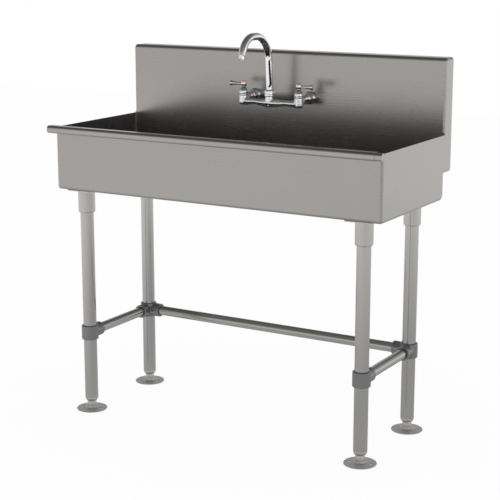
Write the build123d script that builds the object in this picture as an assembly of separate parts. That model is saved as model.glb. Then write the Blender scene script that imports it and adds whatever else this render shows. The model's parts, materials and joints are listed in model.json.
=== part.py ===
from build123d import *
import math
import os

# Floor-standing hand-wash sink: one long stainless basin with a high rear splash, a rolled front rim,
# four tubular legs on adjustable flanged feet, three rails, a basket drain and a wall-type mixer faucet
# with a swinging gooseneck. Millimetres, +Z up, +X to the user's right, -Y towards the user.
# The origin is on the floor, under the centre of the whole outline.

# ---------------------------------------------------------------- driving dimensions
body_length = 1016.0          # 40 in, left side sheet to right side sheet
body_depth = 443.5            # 17 1/2 in, apron to the back of the splash box
basin_depth = 393.0           # apron to the back of the basin
rim_height = 838.5            # floor to the top of the front rim
side_height = 836.0           # floor to the top edge of the side sheets
basin_bottom = 658.5          # floor to the underside of the basin
splash_height = 1042.5        # floor to the top of the splash
splash_bottom = 731.0         # floor to the underside of the splash box
sheet = 2.0                   # 14 gauge stainless

apron_corner = 8.0            # outside bend radii of the sheet
rear_corner = 17.0
box_low_corner = 9.0
box_high_corner = 5.0
splash_nose = 10.0
end_corner = 8.0
panel_flange = 12.0           # how far the end panels return inwards to their weld
box_lip = 32.0                # upstand and downstand that leave the splash box open at the back

rim_front = 10.0              # how far the rolled rim stands out in front of the apron
rim_back = 16.0               # how far it reaches over the basin
rim_tall = 21.0
rim_nose = 8.0
rim_chin = 6.0                # radius under the nose
rim_overhang = 25.0           # the rim runs past the left side
rim_cap = 10.0                # length of the left cap
rim_stop = 19.0               # the rim ends this far short of the right side
rim_stop_back = 3.0           # how far its narrow closing piece reaches over the basin

leg_radius = 19.05            # 1 1/2 in tube
leg_wall = 1.5
leg_side = 69.0               # leg axis from the end of the body
leg_front = 44.5              # leg axes from the apron
leg_rear = 345.9
leg_bottom = 38.4
leg_top = 652.0
socket_radius = 24.2
socket_bottom = 590.6
plate_side = 80.0
plate_thick = 3.0

rail_height = 234.6
rail_radius = 14.3
rail_wall = 1.5
collar_radius = 24.5
collar_tall = 42.0
barrel_radius = 20.0
barrel_reach = 46.0           # barrel mouth from the leg axis
rail_start = 26.0             # rail end from the leg axis

foot_radius = 44.45           # 3 1/2 in flange
foot_thick = 3.0
foot_hub_radius = 13.0
foot_bolt_circle = 58.7
foot_bolt_radius = 4.0
foot_turn = 11.0              # degrees that the bolt holes are turned from +X
stud_radius = 6.0
screw_radius = 3.0            # set screws
socket_screw_up = 16.0        # set screw above the socket's lower end
insert_bottom = 26.5
insert_top = 70.0

drain_setback = 196.0         # drain axis from the apron
drain_thread = 24.13          # 1 1/2 in pipe size outside radius, free below the locknut
drain_neck = 24.4             # the same body where its gasket and locknut sit
drain_nut_low = 644.0
drain_bottom = 622.0
drain_step = 646.0            # where the wide upper bore meets the tailpiece bore
drain_bore = 20.5
tailpiece_bore = 17.0
drain_flange = 38.0
locknut_flats = 62.0
gasket_thick = 3.0
gasket_radius = 36.0
drain_recess = 28.5           # shallow seat in the flange for the basket's lip
cup_bottom = 647.0            # strainer basket
cup_radius = 19.8
cup_lip = 28.0

faucet_setback = 317.0        # spout axis from the apron
valve_setback = 325.0         # the valves sit a little behind the spout
faucet_offset = 6.0           # spout axis to the right of the basin's middle
valve_spacing = 178.0         # between the valve axes
valve_radius = 13.0
valve_bottom = 891.5
valve_top = 919.0
cartridge_radius = 10.8
cartridge_bottom = 896.0
cartridge_top = 928.0
bonnet_shoulder = 929.0       # where the bonnet starts to close in
bonnet_top = 939.5
stem_radius = 4.0
stem_shoulder = 5.5
handle_low = 943.0
handle_high = 958.0
handle_height = 951.0         # lever axis
button_radius = 6.1
button_top = 960.0
lever_reach = 45.0
bridge_height = 903.0
bridge_radius = 8.6
bridge_bore = 5.0
hub_radius = 12.5
hub_bottom = 889.5
hub_top = 921.0
shank_height = 914.0
shank_radius = 10.65          # 1/2 in pipe size outside radius, free behind its locknut
shank_neck = 10.9             # the same shank where its nuts sit
shank_bore = 7.0
arm_radius = 9.0
arm_start = 338.0             # inlet arm, union nut and wall flange, all from the apron
arm_collar = 353.0
union_start = 362.0
arm_end = 366.0
flange_start = 383.0
union_flats = 31.0
wall_flange_radius = 18.5
locknut_thick = 8.0
washer_thick = 3.0
washer_radius = 18.0
locknut_across = 34.0         # shank locknut, across flats
shank_end = 436.0
spout_radius = 10.2
spout_wall = 1.2
spigot_bottom = 897.0         # narrow lower end that turns in the hub
spigot_top = 915.0
spigot_radius = 8.2
spigot_bore = 6.5
spout_bend = 950.0            # where the riser starts to lean forwards
spout_lean = 8.0
spout_top = 1092.0            # centreline of the top of the gooseneck
spout_outlet = 165.0          # front of the gooseneck from the apron
arch_rear = 74.0              # radii of the arch
arch_front = 58.0
arch_sweep = 76.0             # degrees of the front bend before the outlet
outlet_length = 16.0
nut_radius = 14.5
nut_top = 939.5

joint_gap = 0.35              # between faces that turn or slide past each other
snug = 0.05                   # between faces that are pressed or screwed together

# ---------------------------------------------------------------- places in the part's own frame
x_left = -(body_length + rim_overhang) / 2 + rim_overhang
x_right = x_left + body_length
x_middle = (x_left + x_right) / 2
y_apron = -(body_depth + rim_front) / 2 + rim_front
y_back = y_apron + body_depth
y_basin = y_apron + basin_depth
y_splash = y_basin - sheet            # front face of the splash and of the basin's back wall
rim_low = rim_height - rim_tall
basin_floor = basin_bottom + sheet
x_legs = {"left": x_left + leg_side, "right": x_right - leg_side}
y_legs = {"front": y_apron + leg_front, "rear": y_apron + leg_rear}
corners = [(row, side) for row in ("front", "rear") for side in ("left", "right")]
x_spout = x_middle + faucet_offset
y_spout = y_apron + faucet_setback
y_valve = y_apron + valve_setback
x_valves = {"hot": x_spout - valve_spacing / 2, "cold": x_spout + valve_spacing / 2}
y_drain = y_apron + drain_setback


# ---------------------------------------------------------------- small helpers
def block(x0, x1, y0, y1, z0, z1):
    """Box between two corners."""
    centre = Pos((x0 + x1) / 2, (y0 + y1) / 2, (z0 + z1) / 2)
    return centre * Box(x1 - x0, y1 - y0, z1 - z0)


def rod_z(x, y, z0, z1, radius):
    """Upright cylinder from z0 to z1."""
    return Pos(x, y, (z0 + z1) / 2) * Cylinder(radius, z1 - z0)


def rod_x(x0, x1, y, z, radius):
    """Cylinder along X."""
    return Pos((x0 + x1) / 2, y, z) * Rot(0, 90, 0) * Cylinder(radius, x1 - x0)


def rod_y(x, y0, y1, z, radius):
    """Cylinder along Y."""
    return Pos(x, (y0 + y1) / 2, z) * Rot(90, 0, 0) * Cylinder(radius, y1 - y0)


def pipe_z(x, y, z0, z1, radius, bore):
    """Upright tube."""
    return rod_z(x, y, z0, z1, radius) - rod_z(x, y, z0 - 1, z1 + 1, bore)


def turned(x, y, outline):
    """Solid of revolution about a vertical axis, from (radius, z) points."""
    face = make_face(Plane.XZ * Polyline(*outline, close=True))
    return Pos(x, y, 0) * revolve(face, Axis.Z)


def hexagon_z(x, y, z0, z1, across_flats):
    """Upright hexagonal prism."""
    face = RegularPolygon(across_flats / 2, 6, major_radius=False)
    return Pos(x, y, z0) * extrude(face, z1 - z0)


def hexagon_y(x, y0, y1, z, across_flats):
    """Hexagonal prism along +Y."""
    face = RegularPolygon(across_flats / 2, 6, major_radius=False)
    return Pos(x, y0, z) * Rot(-90, 0, 0) * extrude(face, y1 - y0)


def outline_yz(points):
    """Face in local axes from (depth behind the apron, height, corner radius) points."""
    face = make_face(Polyline(*[(y_apron + y, z) for y, z, r in points], close=True))
    for y, z, radius in points:
        if radius > 0:
            corner = face.vertices().sort_by_distance((y_apron + y, z, 0))[0]
            face = fillet(corner, radius)
    return face


def prism(points, x0, x1):
    """Extrusion along +X of an outline_yz."""
    return extrude(Plane.YZ.offset(x0) * outline_yz(points), x1 - x0)


def end_edges(solid):
    """Edges of the leftmost and rightmost faces."""
    faces = solid.faces().sort_by(Axis.X)
    return faces[0].edges() + faces[-1].edges()


# ---------------------------------------------------------------- sheet metal
def sheet_metal():
    """Basin, splash box and ends as one 2 mm shell, before it is divided at its welds."""
    nose_start = side_height + end_corner
    outer = prism([(0, nose_start, 0), (0, basin_bottom, apron_corner),
                   (basin_depth, basin_bottom, rear_corner), (basin_depth, splash_bottom, 0),
                   (body_depth, splash_bottom, box_low_corner),
                   (body_depth, splash_height, box_high_corner),
                   (basin_depth - sheet, splash_height, splash_nose),
                   (basin_depth - sheet, nose_start, 0)], x_left, x_right)
    outer = fillet(end_edges(outer), end_corner)
    x0, x1 = x_left + sheet, x_right - sheet
    basin = prism([(sheet, rim_height + 60, 0), (sheet, basin_floor, apron_corner - sheet),
                   (basin_depth - sheet, basin_floor, rear_corner - sheet),
                   (basin_depth - sheet, rim_height + 60, 0)], x0, x1)
    basin = fillet(end_edges(basin), end_corner - sheet)
    box = prism([(basin_depth, splash_bottom + sheet, 0),
                 (body_depth - sheet, splash_bottom + sheet, box_low_corner - sheet),
                 (body_depth - sheet, splash_height - sheet, box_high_corner - sheet),
                 (basin_depth, splash_height - sheet, splash_nose - sheet)], x0, x1)
    box = fillet(end_edges(box), end_corner - sheet)
    shell = outer - basin - box
    shell -= block(x_left - 1, x_right + 1, y_apron - 1, y_splash, side_height, rim_height + 60)
    rim_end = x_right - rim_stop
    shell -= block(x_left - 1, rim_end, y_apron - 1, y_apron + rim_back, rim_low, rim_height)
    shell -= block(rim_end, x_right + 1, y_apron - 1, y_apron + rim_stop_back, rim_low, rim_height)
    shell -= block(x_left + box_lip, x_right - box_lip, y_back - 5, y_back + 1,
                   splash_bottom + box_lip, splash_height - box_lip)
    for x in x_valves.values():
        shell -= rod_y(x, y_splash - 1, y_basin + 1, shank_height, shank_neck + 0.6)
    shell -= rod_z(x_middle, y_drain, basin_bottom - 1, basin_floor + 1, drain_neck + 0.6)
    return shell


def rim_outline(inset, back=rim_back):
    """Section of the rolled front rim, drawn in by a given amount."""
    return [(-rim_front + inset, rim_low + inset, rim_chin - inset),
            (back - inset, rim_low + inset, 0),
            (back - inset, rim_height - inset, 3.0 - inset),
            (-rim_front + inset, rim_height - inset, rim_nose - inset)]


def front_rim():
    """Rolled rim, a closed D-shaped tube on the apron's top edge."""
    x0 = x_left - rim_overhang + rim_cap
    x1 = x_right - rim_stop
    return prism(rim_outline(0), x0, x1) - prism(rim_outline(sheet), x0 - 1, x1 + 1)


def rim_cap_left():
    """Rounded pressed cap on the rim's free end."""
    x0 = x_left - rim_overhang
    cap = prism(rim_outline(0), x0, x0 + rim_cap)
    cap = fillet(cap.faces().sort_by(Axis.X)[0].edges(), 2.5)
    return cap - prism(rim_outline(sheet), x0 + sheet + 2, x0 + rim_cap + 1)


def rim_cap_right():
    """Narrow closing piece between the rim's right end and the side sheet's outer face."""
    x0 = x_right - rim_stop
    wall = 1.8
    cap = prism(rim_outline(0.8, rim_stop_back + 0.8), x0, x_right)
    return cap - prism(rim_outline(0.8 + wall, rim_stop_back + 0.8), x0 - 1, x_right - sheet)


# ---------------------------------------------------------------- legs, feet and rails
def leg_socket(x, y):
    """Socket welded to a mounting plate under the basin."""
    socket = rod_z(x, y, socket_bottom, basin_bottom - plate_thick, socket_radius)
    socket = chamfer(socket.edges().sort_by(Axis.Z)[0], 2.5)
    plate_z = basin_bottom - plate_thick
    half = plate_side / 2
    plate = block(x - half, x + half, y - half, y + half, plate_z, basin_bottom)
    plate = fillet(plate.edges().filter_by(Axis.Z), 6)
    bore = rod_z(x, y, socket_bottom - 1, plate_z, leg_radius + snug)
    return socket + plate - bore - socket_screw(x, y)


def socket_screw(x, y):
    """Set screw at the back of a socket, seated on the leg."""
    height = socket_bottom + socket_screw_up
    return rod_y(x, y + leg_radius, y + socket_radius, height, screw_radius)


def leg_tube(x, y):
    """Straight leg tube."""
    return pipe_z(x, y, leg_bottom, leg_top, leg_radius, leg_radius - leg_wall)


def foot_insert(x, y):
    """Bullet insert pressed into the leg, with the foot's threaded bore."""
    plug = leg_radius - leg_wall - snug
    bore = stud_radius + joint_gap
    return turned(x, y, [(bore, insert_bottom), (14.5, insert_bottom), (16.6, 28.4), (18.2, 32.0),
                         (leg_radius, 36.2), (leg_radius, leg_bottom), (plug, leg_bottom),
                         (plug, insert_top), (bore, insert_top)])


def foot(x, y):
    """Flanged foot: floor flange, hub and threaded stud in one piece."""
    hub_end = insert_bottom - joint_gap
    body = turned(x, y, [(0, 0), (foot_radius - 0.6, 0), (foot_radius, 0.6), (foot_radius, 2.4),
                         (foot_radius - 0.6, foot_thick), (foot_hub_radius + 2.5, foot_thick),
                         (foot_hub_radius, foot_thick + 2.5), (foot_hub_radius, hub_end - 1.5),
                         (foot_hub_radius - 1.5, hub_end), (stud_radius, hub_end),
                         (stud_radius, 61), (stud_radius - 1, 62), (0, 62)])
    for turn in (foot_turn, foot_turn + 180):
        hole_x = x + foot_bolt_circle / 2 * math.cos(math.radians(turn))
        hole_y = y + foot_bolt_circle / 2 * math.sin(math.radians(turn))
        body -= rod_z(hole_x, hole_y, -1, foot_thick + 1, foot_bolt_radius)
    return body


def barrel(x, y, direction):
    """Outside and bore of one rail barrel, pointing along +X, -X, +Y or -Y."""
    dx, dy = direction
    if dx:
        tip = x + dx * barrel_reach
        solid = rod_x(min(x, tip), max(x, tip), y, rail_height, barrel_radius)
        near, far = x + dx * (rail_start - 1), tip + dx
        bore = rod_x(min(near, far), max(near, far), y, rail_height, rail_radius + snug)
    else:
        tip = y + dy * barrel_reach
        solid = rod_y(x, min(y, tip), max(y, tip), rail_height, barrel_radius)
        near, far = y + dy * (rail_start - 1), tip + dy
        bore = rod_y(x, min(near, far), max(near, far), rail_height, rail_radius + snug)
    return solid, bore


def barrel_directions(row, side):
    """Where the fitting's rails leave: the front has one side rail, the rear also has the long rail."""
    inwards = 1 if side == "left" else -1
    if row == "front":
        return [(0, 1)]
    return [(0, -1), (inwards, 0)]


def fitting_screw_places(row, side):
    """Centre, direction and depth of each set screw of one fitting."""
    x, y = x_legs[side], y_legs[row]
    places = []
    for dx, dy in barrel_directions(row, side):
        reach = barrel_reach - 9
        places.append((x + dx * reach, y + dy * reach, "down"))
    places.append((x, y, "left" if row == "front" else "back"))
    return places


def fitting_screw(place):
    """One set screw, seated on the tube that it clamps."""
    x, y, direction = place
    if direction == "down":
        return rod_z(x, y, rail_height - barrel_radius - 0.5, rail_height - rail_radius, screw_radius)
    if direction == "left":
        return rod_x(x - collar_radius - 0.5, x - leg_radius, y, rail_height, screw_radius)
    return rod_y(x, y + leg_radius, y + collar_radius + 0.5, rail_height, screw_radius)


def rail_fitting(row, side):
    """Cast clamp fitting: leg collar with one or two rail barrels."""
    x, y = x_legs[side], y_legs[row]
    half = collar_tall / 2
    body = rod_z(x, y, rail_height - half, rail_height + half, collar_radius)
    body = fillet(body.edges().filter_by(GeomType.CIRCLE), 2.5)
    bores = rod_z(x, y, rail_height - half - 1, rail_height + half + 1, leg_radius + snug)
    for direction in barrel_directions(row, side):
        solid, bore = barrel(x, y, direction)
        body += solid
        bores += bore
    body -= bores
    for place in fitting_screw_places(row, side):
        body -= fitting_screw(place)
    return body


def side_rail(side):
    """Rail from the front leg to the rear leg."""
    y0, y1 = y_legs["front"] + rail_start, y_legs["rear"] - rail_start
    outer = rod_y(x_legs[side], y0, y1, rail_height, rail_radius)
    return outer - rod_y(x_legs[side], y0 - 1, y1 + 1, rail_height, rail_radius - rail_wall)


def rear_rail():
    """Long rail between the rear legs."""
    x0, x1 = x_legs["left"] + rail_start, x_legs["right"] - rail_start
    outer = rod_x(x0, x1, y_legs["rear"], rail_height, rail_radius)
    return outer - rod_x(x0 - 1, x1 + 1, y_legs["rear"], rail_height, rail_radius - rail_wall)


# ---------------------------------------------------------------- drain
def drain_body():
    """Flanged strainer body with a threaded pipe below."""
    return turned(x_middle, y_drain, [
        (tailpiece_bore, drain_bottom), (drain_thread, drain_bottom), (drain_thread, drain_nut_low),
        (drain_neck, drain_nut_low), (drain_neck, basin_floor),
        (drain_flange - 1, basin_floor), (drain_flange, basin_floor + 0.6),
        (drain_flange - 6, basin_floor + 2.6), (drain_recess, basin_floor + 2.6),
        (drain_recess, basin_floor + 1.0), (drain_bore, basin_floor + 1.0), (drain_bore, drain_step),
        (tailpiece_bore, drain_step)])


def drain_gasket():
    """Rubber washer under the basin."""
    low = basin_bottom - gasket_thick
    return pipe_z(x_middle, y_drain, low, basin_bottom, gasket_radius, drain_neck + snug)


def drain_locknut():
    """Hexagonal nut that clamps the drain to the basin."""
    top = basin_bottom - gasket_thick
    nut = hexagon_z(x_middle, y_drain, drain_nut_low, top, locknut_flats)
    return nut - rod_z(x_middle, y_drain, drain_nut_low - 1, top + 1, drain_neck + snug)


def strainer_basket():
    """Lift-out cup with drain holes and a finger knob."""
    lip_z = basin_floor + 1.0 + joint_gap
    floor = cup_bottom + 1
    cup = turned(x_middle, y_drain, [
        (0, cup_bottom), (cup_radius - 1.6, cup_bottom), (cup_radius, cup_bottom + 1.6), (cup_radius, lip_z),
        (cup_lip, lip_z), (cup_lip, lip_z + 1.0), (cup_radius - 1, lip_z + 1.0), (cup_radius - 1, floor + 1),
        (cup_radius - 2, floor), (2.5, floor), (2.5, floor + 16), (6.5, floor + 19), (6.5, floor + 22),
        (4.5, floor + 23.5), (0, floor + 23.5)])
    holes = []
    for ring_radius, count in ((7.0, 6), (12.5, 12)):
        for i in range(count):
            turn = math.radians(360 / count * i)
            holes.append(rod_z(x_middle + ring_radius * math.cos(turn),
                               y_drain + ring_radius * math.sin(turn), cup_bottom - 1, floor + 1, 1.8))
    for i in range(8):
        slot = Pos(cup_radius - 0.5, 0, floor + 7) * Box(4, 3, 8)
        holes.append(Pos(x_middle, y_drain, 0) * Rot(0, 0, 45 * i) * slot)
    return cup - holes


# ---------------------------------------------------------------- faucet
def faucet_body():
    """Cast mixer body: two valve bodies, bowed bridge, spout hub and two inlet arms."""
    body = rod_z(x_spout, y_spout, hub_bottom, hub_top, hub_radius)
    body = fillet(body.edges().sort_by(Axis.Z)[0], 5)
    for x in x_valves.values():
        valve = rod_z(x, y_valve, valve_bottom, valve_top, valve_radius)
        body += fillet(valve.edges().sort_by(Axis.Z)[0], 6)
        body += bridge_rod(x, bridge_radius)
        body += bridge_flare(x)
        body += arm_cone(x)
        body += rod_y(x, y_apron + arm_start, y_apron + arm_end, shank_height, arm_radius)
        body += rod_y(x, y_apron + arm_collar, y_apron + arm_collar + 4, shank_height, arm_radius + 3)
    body -= rod_z(x_spout, y_spout, spigot_bottom - 0.5, hub_top + 1, spout_radius + joint_gap)
    for x in x_valves.values():
        body -= rod_z(x, y_valve, valve_top, valve_top + 6, valve_radius + 1)
        body -= rod_z(x, y_valve, cartridge_bottom - 1, valve_top + 1, cartridge_radius + snug)
        body -= rod_y(x, y_valve + 12, y_apron + arm_end + 1, shank_height, shank_bore - 1)
        body -= bridge_rod(x, bridge_bore)
    return body


def bridge_rod(x, radius):
    """Round bar from the spout hub to one valve body."""
    start = Vector(x_spout, y_spout, bridge_height)
    run = Vector(x, y_valve, bridge_height) - start
    plane = Plane(origin=start + run * 0.5, x_dir=(0, 0, 1), z_dir=run)
    return plane * Cylinder(radius, run.length)


def bridge_flare(x):
    """Cone that widens the bridge where it meets the hub."""
    start = Vector(x_spout, y_spout, bridge_height)
    run = (Vector(x, y_valve, bridge_height) - start).normalized()
    plane = Plane(origin=start + run * 21, x_dir=(0, 0, 1), z_dir=run)
    return plane * Cone(hub_radius - 0.6, bridge_radius, 26)


def arm_cone(x):
    """Tapered neck that rises from a valve body to its inlet arm."""
    low = Vector(x, y_valve, bridge_height + 1)
    high = Vector(x, y_apron + arm_start + 12, shank_height)
    run = high - low
    plane = Plane(origin=low + run * 0.5, x_dir=(1, 0, 0), z_dir=run)
    return plane * Cone(valve_radius - 1, arm_radius, run.length)


def coupling_nut(x):
    """Hexagonal union nut between the inlet arm and the shank."""
    y0, y1 = y_apron + union_start, y_apron + flange_start
    inside = y_apron + arm_end + 0.2
    nut = hexagon_y(x, y0, y1, shank_height, union_flats)
    nut = nut & rod_y(x, y0, y1, shank_height, union_flats / 2 + 1.6)
    nut -= rod_y(x, y0 - 1, inside, shank_height, arm_radius + snug)
    return nut - rod_y(x, inside, y1 + 1, shank_height, shank_neck + snug)


def wall_flange(x):
    """Round escutcheon against the splash."""
    y0 = y_apron + flange_start
    disc = rod_y(x, y0, y_splash, shank_height, wall_flange_radius)
    disc = fillet(disc.edges().sort_by(Axis.Y)[0], 4)
    return disc - rod_y(x, y0 - 1, y_splash + 1, shank_height, shank_neck + snug)


def supply_shank(x):
    """Threaded shank through the splash."""
    y0, y1 = y_apron + arm_end + 0.4, y_apron + shank_end
    step = y_basin + washer_thick + locknut_thick
    body = rod_y(x, y0, step, shank_height, shank_neck) + rod_y(x, step, y1, shank_height, shank_radius)
    return body - rod_y(x, y0 - 1, y1 + 1, shank_height, shank_bore)


def shank_washer(x):
    """Rubber washer behind the splash."""
    ring = rod_y(x, y_basin, y_basin + washer_thick, shank_height, washer_radius)
    return ring - rod_y(x, y_basin - 1, y_basin + washer_thick + 1, shank_height, shank_neck + snug)


def shank_locknut(x):
    """Locknut behind the splash."""
    y0 = y_basin + washer_thick
    nut = hexagon_y(x, y0, y0 + locknut_thick, shank_height, locknut_across)
    return nut - rod_y(x, y0 - 1, y0 + locknut_thick + 1, shank_height, shank_neck + snug)


def cartridge(x):
    """Brass valve cartridge inside a valve body."""
    body = rod_z(x, y_valve, cartridge_bottom, cartridge_top, cartridge_radius)
    return body - rod_z(x, y_valve, cartridge_bottom + 3, cartridge_top + 1, stem_radius + joint_gap)


def bonnet(x):
    """Domed bonnet over the cartridge."""
    hole = stem_shoulder + joint_gap
    seat = cartridge_radius + snug
    ceiling = cartridge_top + 0.2
    return turned(x, y_valve, [
        (seat, valve_top), (valve_radius, valve_top), (valve_radius, bonnet_shoulder),
        (12.4, bonnet_top - 7),
        (10.6, bonnet_top - 3.4), (8.2, bonnet_top - 0.8), (7.3, bonnet_top), (hole, bonnet_top),
        (hole, ceiling), (seat, ceiling)])


def stem(x):
    """Valve stem that the handle turns."""
    step = cartridge_top + 1.3
    return turned(x, y_valve, [
        (0, cartridge_bottom + 4), (stem_radius, cartridge_bottom + 4), (stem_radius, step),
        (stem_shoulder, step), (stem_shoulder, handle_low), (stem_radius, handle_low),
        (stem_radius, handle_height), (0, handle_height)])


def lever(x, outwards):
    """Lever handle: a round hub and a cone that flares to its tip."""
    hub = turned(x, y_valve, [
        (0, handle_low), (6.4, handle_low), (8.0, handle_low + 2), (8.6, handle_height),
        (8.0, handle_high - 1.3), (7.2, handle_high), (0, handle_high)])
    length = lever_reach - 3
    arm = Pos(x + outwards * (3 + length / 2), y_valve, handle_height) * Rot(0, outwards * 90, 0)
    blade = Cone(4.0, 7.6, length)
    blade = fillet(blade.edges().sort_by(Axis.Z)[-1], 2.5)
    body = hub + arm * blade
    body -= rod_z(x, y_valve, handle_low - 1, handle_height, stem_radius)
    body -= rod_z(x, y_valve, handle_height - 1, handle_height + 3, 2.0)
    return body - rod_z(x, y_valve, handle_height + 2.5, handle_high + 9, button_radius + 0.1)


def handle_screw(x):
    """Screw under the index button that holds the lever to the stem."""
    seat = handle_height + 2.5
    return rod_z(x, y_valve, handle_height, seat, 1.95) + rod_z(x, y_valve, seat, seat + 1.8, 4.0)


def index_button(x):
    """Coloured hot or cold button on top of a lever."""
    return turned(x, y_valve, [(0, handle_height + 4.5), (button_radius, handle_height + 4.5),
                               (button_radius, button_top - 1.4), (button_radius - 1.1, button_top - 0.4),
                               (0, button_top)])


def spout_path():
    """Centreline of the gooseneck in its own upright plane: riser, rear bend, crown and front bend."""
    y_front = y_apron + spout_outlet
    y_shoulder = y_spout - spout_lean
    y_crown = y_front + arch_front
    riser = FilletPolyline((y_spout, spigot_top), (y_spout, spout_bend), (y_shoulder, spout_top),
                           (y_crown, spout_top), radius=[200.0, arch_rear])
    bend = CenterArc((y_crown, spout_top - arch_front), arch_front, 90, arch_sweep)
    return Plane.YZ.offset(x_spout) * (riser + bend)


def outlet_plane():
    """Plane across the gooseneck's open end, facing along the flow."""
    turn = math.radians(arch_sweep)
    y = y_apron + spout_outlet + arch_front * (1 - math.sin(turn))
    z = spout_top - arch_front * (1 - math.cos(turn))
    return Plane(origin=(x_spout, y, z), x_dir=(1, 0, 0), z_dir=(0, -math.cos(turn), -math.sin(turn)))


def spout_tube():
    """Swinging gooseneck with a narrower spigot that turns in the hub."""
    path = spout_path()
    start = Plane(origin=(x_spout, y_spout, spigot_top), z_dir=(0, 0, 1))
    outer = sweep(start * Circle(spout_radius), path)
    inner = sweep(start * Circle(spout_radius - spout_wall), path)
    spigot = pipe_z(x_spout, y_spout, spigot_bottom, spigot_top, spigot_radius, spigot_bore)
    ledge = pipe_z(x_spout, y_spout, spigot_top, spigot_top + 1.5, spout_radius - 0.5, spigot_bore)
    return outer - inner + spigot + ledge


def spout_seal():
    """Rubber ring on the spigot that seals in the hub."""
    bore = spout_radius + joint_gap - snug
    return pipe_z(x_spout, y_spout, spigot_bottom + 7, spigot_bottom + 11, bore, spigot_radius)


def spout_nut():
    """Ring nut that keeps the spout in its hub."""
    bore = spout_radius + joint_gap
    return turned(x_spout, y_spout, [(nut_radius - 1.2, hub_top), (nut_radius, hub_top + 1.5),
                                     (nut_radius, nut_top - 4.5), (nut_radius - 1.2, nut_top - 1.2),
                                     (12.6, nut_top), (bore, nut_top), (bore, hub_top)])


def aerator():
    """Outlet fitting screwed onto the end of the gooseneck."""
    body = Polyline((6.0, 0), (spout_radius, 0), (spout_radius, 4), (9.2, 5.5),
                    (9.2, outlet_length - 1), (8.4, outlet_length), (6.0, outlet_length), close=True)
    ring = revolve(make_face(Plane.XZ * body), Axis.Z)
    return outlet_plane() * ring


# ---------------------------------------------------------------- assembly
def build_nodes():
    """Every node by name, each one solid or a group of identical solids."""
    nodes = {}
    shell = sheet_metal()
    seam_left, seam_right = x_left + panel_flange, x_right - panel_flange
    everything = (y_apron - 5, y_back + 5, basin_bottom - 5, splash_height + 5)
    nodes["end_panel_left"] = shell & block(x_left - 5, seam_left, *everything)
    nodes["end_panel_right"] = shell & block(seam_right, x_right + 5, *everything)
    middle = shell & block(seam_left, seam_right, *everything)
    channel = block(seam_left, seam_right, y_basin, y_back + 5,
                    splash_bottom - 5, splash_bottom + box_lip + 5)
    nodes["basin_trough"] = middle - channel
    nodes["splash_rear_channel"] = middle & channel
    nodes["front_rim"] = front_rim()
    nodes["rim_cap_left"] = rim_cap_left()
    nodes["rim_cap_right"] = rim_cap_right()

    for row, side in corners:
        x, y = x_legs[side], y_legs[row]
        nodes[f"leg_socket_{row}_{side}"] = leg_socket(x, y)
        nodes[f"leg_tube_{row}_{side}"] = leg_tube(x, y)
        nodes[f"foot_insert_{row}_{side}"] = foot_insert(x, y)
        nodes[f"foot_{row}_{side}"] = foot(x, y)
        nodes[f"rail_fitting_{row}_{side}"] = rail_fitting(row, side)
    nodes["rail_left"] = side_rail("left")
    nodes["rail_right"] = side_rail("right")
    nodes["rail_rear"] = rear_rail()
    nodes["socket_set_screws"] = Compound(children=[
        socket_screw(x, y) for x in x_legs.values() for y in y_legs.values()])
    nodes["fitting_set_screws"] = Compound(children=[
        fitting_screw(place) for row, side in corners for place in fitting_screw_places(row, side)])

    nodes["drain_body"] = drain_body()
    nodes["drain_gasket"] = drain_gasket()
    nodes["drain_locknut"] = drain_locknut()
    nodes["strainer_basket"] = strainer_basket()

    nodes["faucet_body"] = faucet_body()
    nodes["wall_flanges"] = Compound(children=[wall_flange(x) for x in x_valves.values()])
    nodes["supply_shanks"] = Compound(children=[supply_shank(x) for x in x_valves.values()])
    nodes["shank_washers"] = Compound(children=[shank_washer(x) for x in x_valves.values()])
    nodes["shank_locknuts"] = Compound(children=[shank_locknut(x) for x in x_valves.values()])
    for name, x in x_valves.items():
        outwards = -1 if name == "hot" else 1
        nodes[f"{name}_coupling_nut"] = coupling_nut(x)
        nodes[f"{name}_cartridge"] = cartridge(x)
        nodes[f"{name}_bonnet"] = bonnet(x)
        nodes[f"{name}_stem"] = stem(x)
        nodes[f"{name}_lever"] = lever(x, outwards)
        nodes[f"{name}_handle_screw"] = handle_screw(x)
        nodes[f"{name}_index_button"] = index_button(x)
    nodes["spout_nut"] = spout_nut()
    nodes["spout_tube"] = spout_tube()
    nodes["spout_seal"] = spout_seal()
    nodes["aerator"] = aerator()
    return nodes


os.makedirs("parts", exist_ok=True)
for node_name, shape in build_nodes().items():
    export_step(shape, f"parts/{node_name}.step")
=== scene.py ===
"""Hand-wash sink: finishes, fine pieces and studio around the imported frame."""
import json
import math

import bmesh
import bpy
from mathutils import Matrix, Vector


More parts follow.
